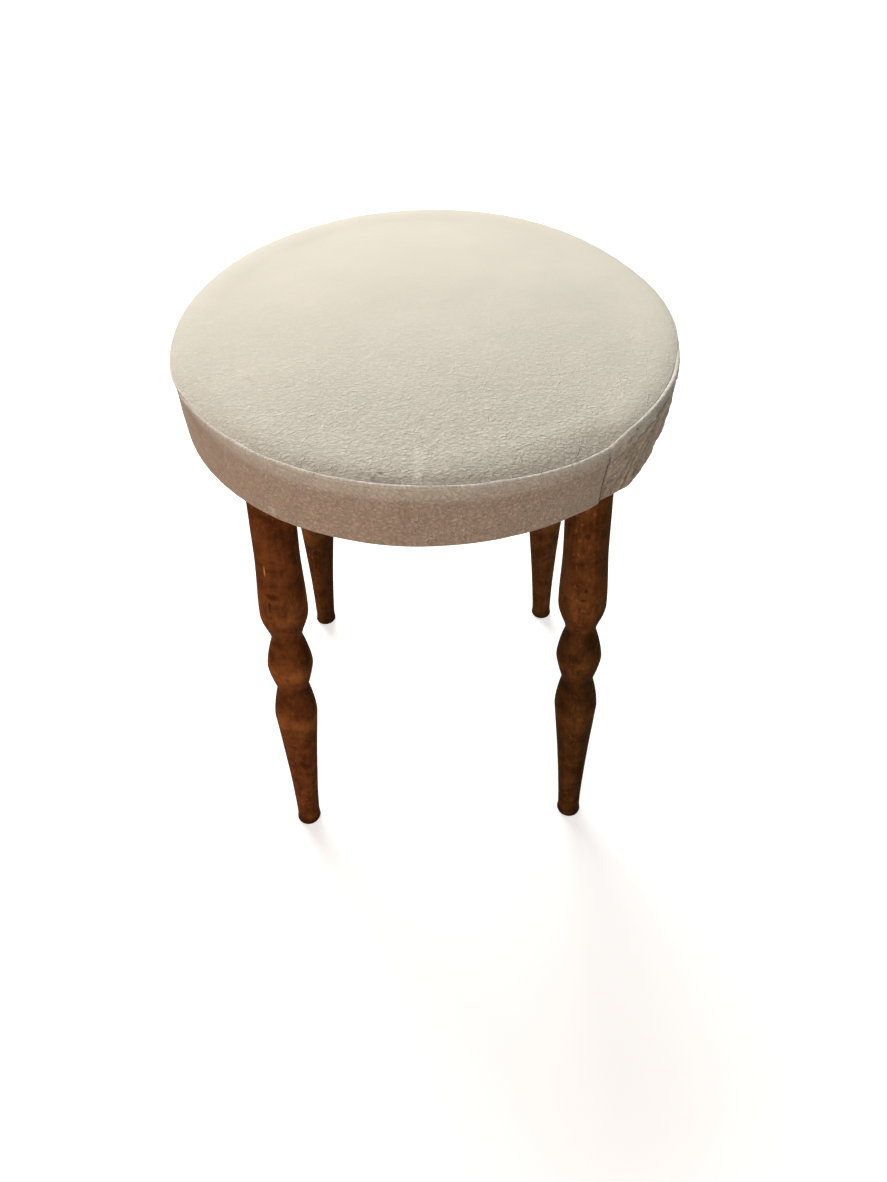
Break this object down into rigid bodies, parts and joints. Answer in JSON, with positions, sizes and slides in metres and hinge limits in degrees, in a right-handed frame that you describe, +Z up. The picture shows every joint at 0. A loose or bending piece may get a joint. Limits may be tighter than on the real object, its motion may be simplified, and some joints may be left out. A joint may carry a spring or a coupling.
{
  "type": "vanity stool",
  "caption": "Backless stool with a round, crowned, cream-cloth seat in a welted boxed cover on turned and splayed dark-stained wooden legs.",
  "frame": {"origin": "on the floor, under the middle of the seat", "axes": "+Z up through the middle of the seat, -Y towards the front of the picture, +X to its right"},
  "size_m": [0.3418, 0.3418, 0.464],
  "materials": {
    "seat_cloth": "cream crinkled microfibre upholstery cloth, matt",
    "dust_cloth": "thin black spun-bonded lining, matt",
    "wadding": "white polyester fibre wadding",
    "foam": "open-cell upholstery foam",
    "plywood": "raw birch plywood",
    "stained_wood": "walnut-stained hardwood under a satin varnish, worn",
    "zinc_steel": "bright zinc plating",
    "staple_steel": "galvanised wire"
  },
  "bodies": {
    "root": {"seat_board": "plywood", "foam_pad": "foam", "wadding_layer": "wadding", "cover_top_panel": "seat_cloth", "cover_side_band": "seat_cloth", "seat_welt": "seat_cloth", "dust_cover": "dust_cloth", "leg_front_left": "stained_wood", "leg_front_right": "stained_wood", "leg_back_right": "stained_wood", "leg_back_left": "stained_wood", "hanger_bolt_front_left": "zinc_steel", "hanger_bolt_front_right": "zinc_steel", "hanger_bolt_back_right": "zinc_steel", "hanger_bolt_back_left": "zinc_steel", "insert_nut_front_left": "zinc_steel", "insert_nut_front_right": "zinc_steel", "insert_nut_back_right": "zinc_steel", "insert_nut_back_left": "zinc_steel", "hem_staple_1": "staple_steel", "hem_staple_2": "staple_steel", "hem_staple_3": "staple_steel", "hem_staple_4": "staple_steel", "hem_staple_5": "staple_steel", "hem_staple_6": "staple_steel", "hem_staple_7": "staple_steel", "hem_staple_8": "staple_steel", "hem_staple_9": "staple_steel", "hem_staple_10": "staple_steel", "hem_staple_11": "staple_steel", "hem_staple_12": "staple_steel", "dust_cover_staple_1": "staple_steel", "dust_cover_staple_2": "staple_steel", "dust_cover_staple_3": "staple_steel", "dust_cover_staple_4": "staple_steel", "dust_cover_staple_5": "staple_steel", "dust_cover_staple_6": "staple_steel", "dust_cover_staple_7": "staple_steel", "dust_cover_staple_8": "staple_steel", "dust_cover_staple_9": "staple_steel", "dust_cover_staple_10": "staple_steel", "dust_cover_staple_11": "staple_steel", "dust_cover_staple_12": "staple_steel"}
  },
  "joints": []
}
